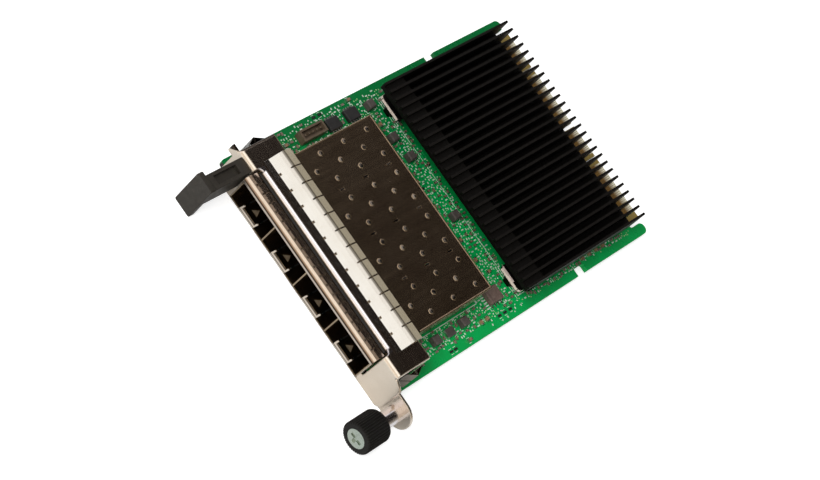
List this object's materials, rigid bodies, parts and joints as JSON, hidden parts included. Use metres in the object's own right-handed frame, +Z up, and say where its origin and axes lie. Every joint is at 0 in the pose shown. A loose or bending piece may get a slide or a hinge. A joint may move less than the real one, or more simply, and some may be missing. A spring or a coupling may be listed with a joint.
{
  "type": "mezzanine network card",
  "caption": "Mezzanine network card: green board with card edge, folded bracket with module ports, finned heat sink, pull tab and captive thumbscrew.",
  "frame": {"origin": "middle of the bracket's lower edge, in the plane of its front face", "axes": "+X to the right seen from the front, +Y the way the card is pushed in, +Z up from the board's component side"},
  "size_m": [0.0849, 0.1319, 0.0163],
  "materials": {
    "board_green": "satin solder mask",
    "contact_gold": "plated",
    "bracket_steel": "satin nickel plate",
    "spring_steel": "bright tin plate",
    "cage_steel": "bright nickel plate",
    "connector_black": "matte",
    "sink_black": "black anodised",
    "screw_zinc": "zinc plate",
    "chip_black": "matte",
    "pad_grey": "matte",
    "tab_plastic": "fine matte",
    "knob_black": "satin",
    "barrel_nickel": "bright turned",
    "inductor_brown": "matte",
    "lead_tin": "tin plate",
    "capacitor_beige": "fired ceramic",
    "resistor_black": "glazed",
    "socket_brown": "matte"
  },
  "bodies": {
    "card": {"circuit_board": "board_green", "edge_contacts_top": "contact_gold", "edge_contacts_bottom": "contact_gold", "faceplate": "bracket_steel", "top_finger_strip": "spring_steel", "side_finger_strip_left": "spring_steel", "side_finger_strip_right": "spring_steel", "cage_cover": "cage_steel", "cage_base": "cage_steel", "cage_divider_1": "cage_steel", "cage_divider_2": "cage_steel", "cage_divider_3": "cage_steel", "cage_front_springs": "spring_steel", "port_connector_1": "connector_black", "port_connector_2": "connector_black", "port_connector_3": "connector_black", "port_connector_4": "connector_black", "heat_sink": "sink_black", "heat_sink_screws": "screw_zinc", "bracket_screws": "screw_zinc", "controller_chip": "chip_black", "thermal_pad": "pad_grey", "pull_tab": "tab_plastic", "pull_tab_pin": "screw_zinc", "thumb_barrel": "barrel_nickel", "thumb_spring": "screw_zinc", "power_inductors": "inductor_brown", "flash_chip": "chip_black", "flash_chip_leads": "lead_tin", "regulators": "chip_black", "regulator_pins": "lead_tin", "side_connector": "socket_brown", "oscillator": "lead_tin", "capacitors": "capacitor_beige", "capacitor_ends": "lead_tin", "resistors": "resistor_black", "bottom_capacitors": "capacitor_beige"},
    "screw_slide": {"thumb_washer": "screw_zinc"},
    "thumbscrew": {"thumb_knob": "knob_black", "thumb_screw": "screw_zinc"}
  },
  "joints": [
    {"name": "screw_push", "type": "slide", "parent": "card", "child": "screw_slide", "axis": [0, 1, 0], "range_m": [0, 0.0035], "stiffness_N_per_m": 250, "springref_m": -0.002, "deforming": ["thumb_spring"]},
    {"name": "screw_turn", "type": "hinge", "parent": "screw_slide", "child": "thumbscrew", "pos_m": [0.042, -0.0149, 0.00505], "axis": [0, 1, 0], "continuous": true}
  ]
}
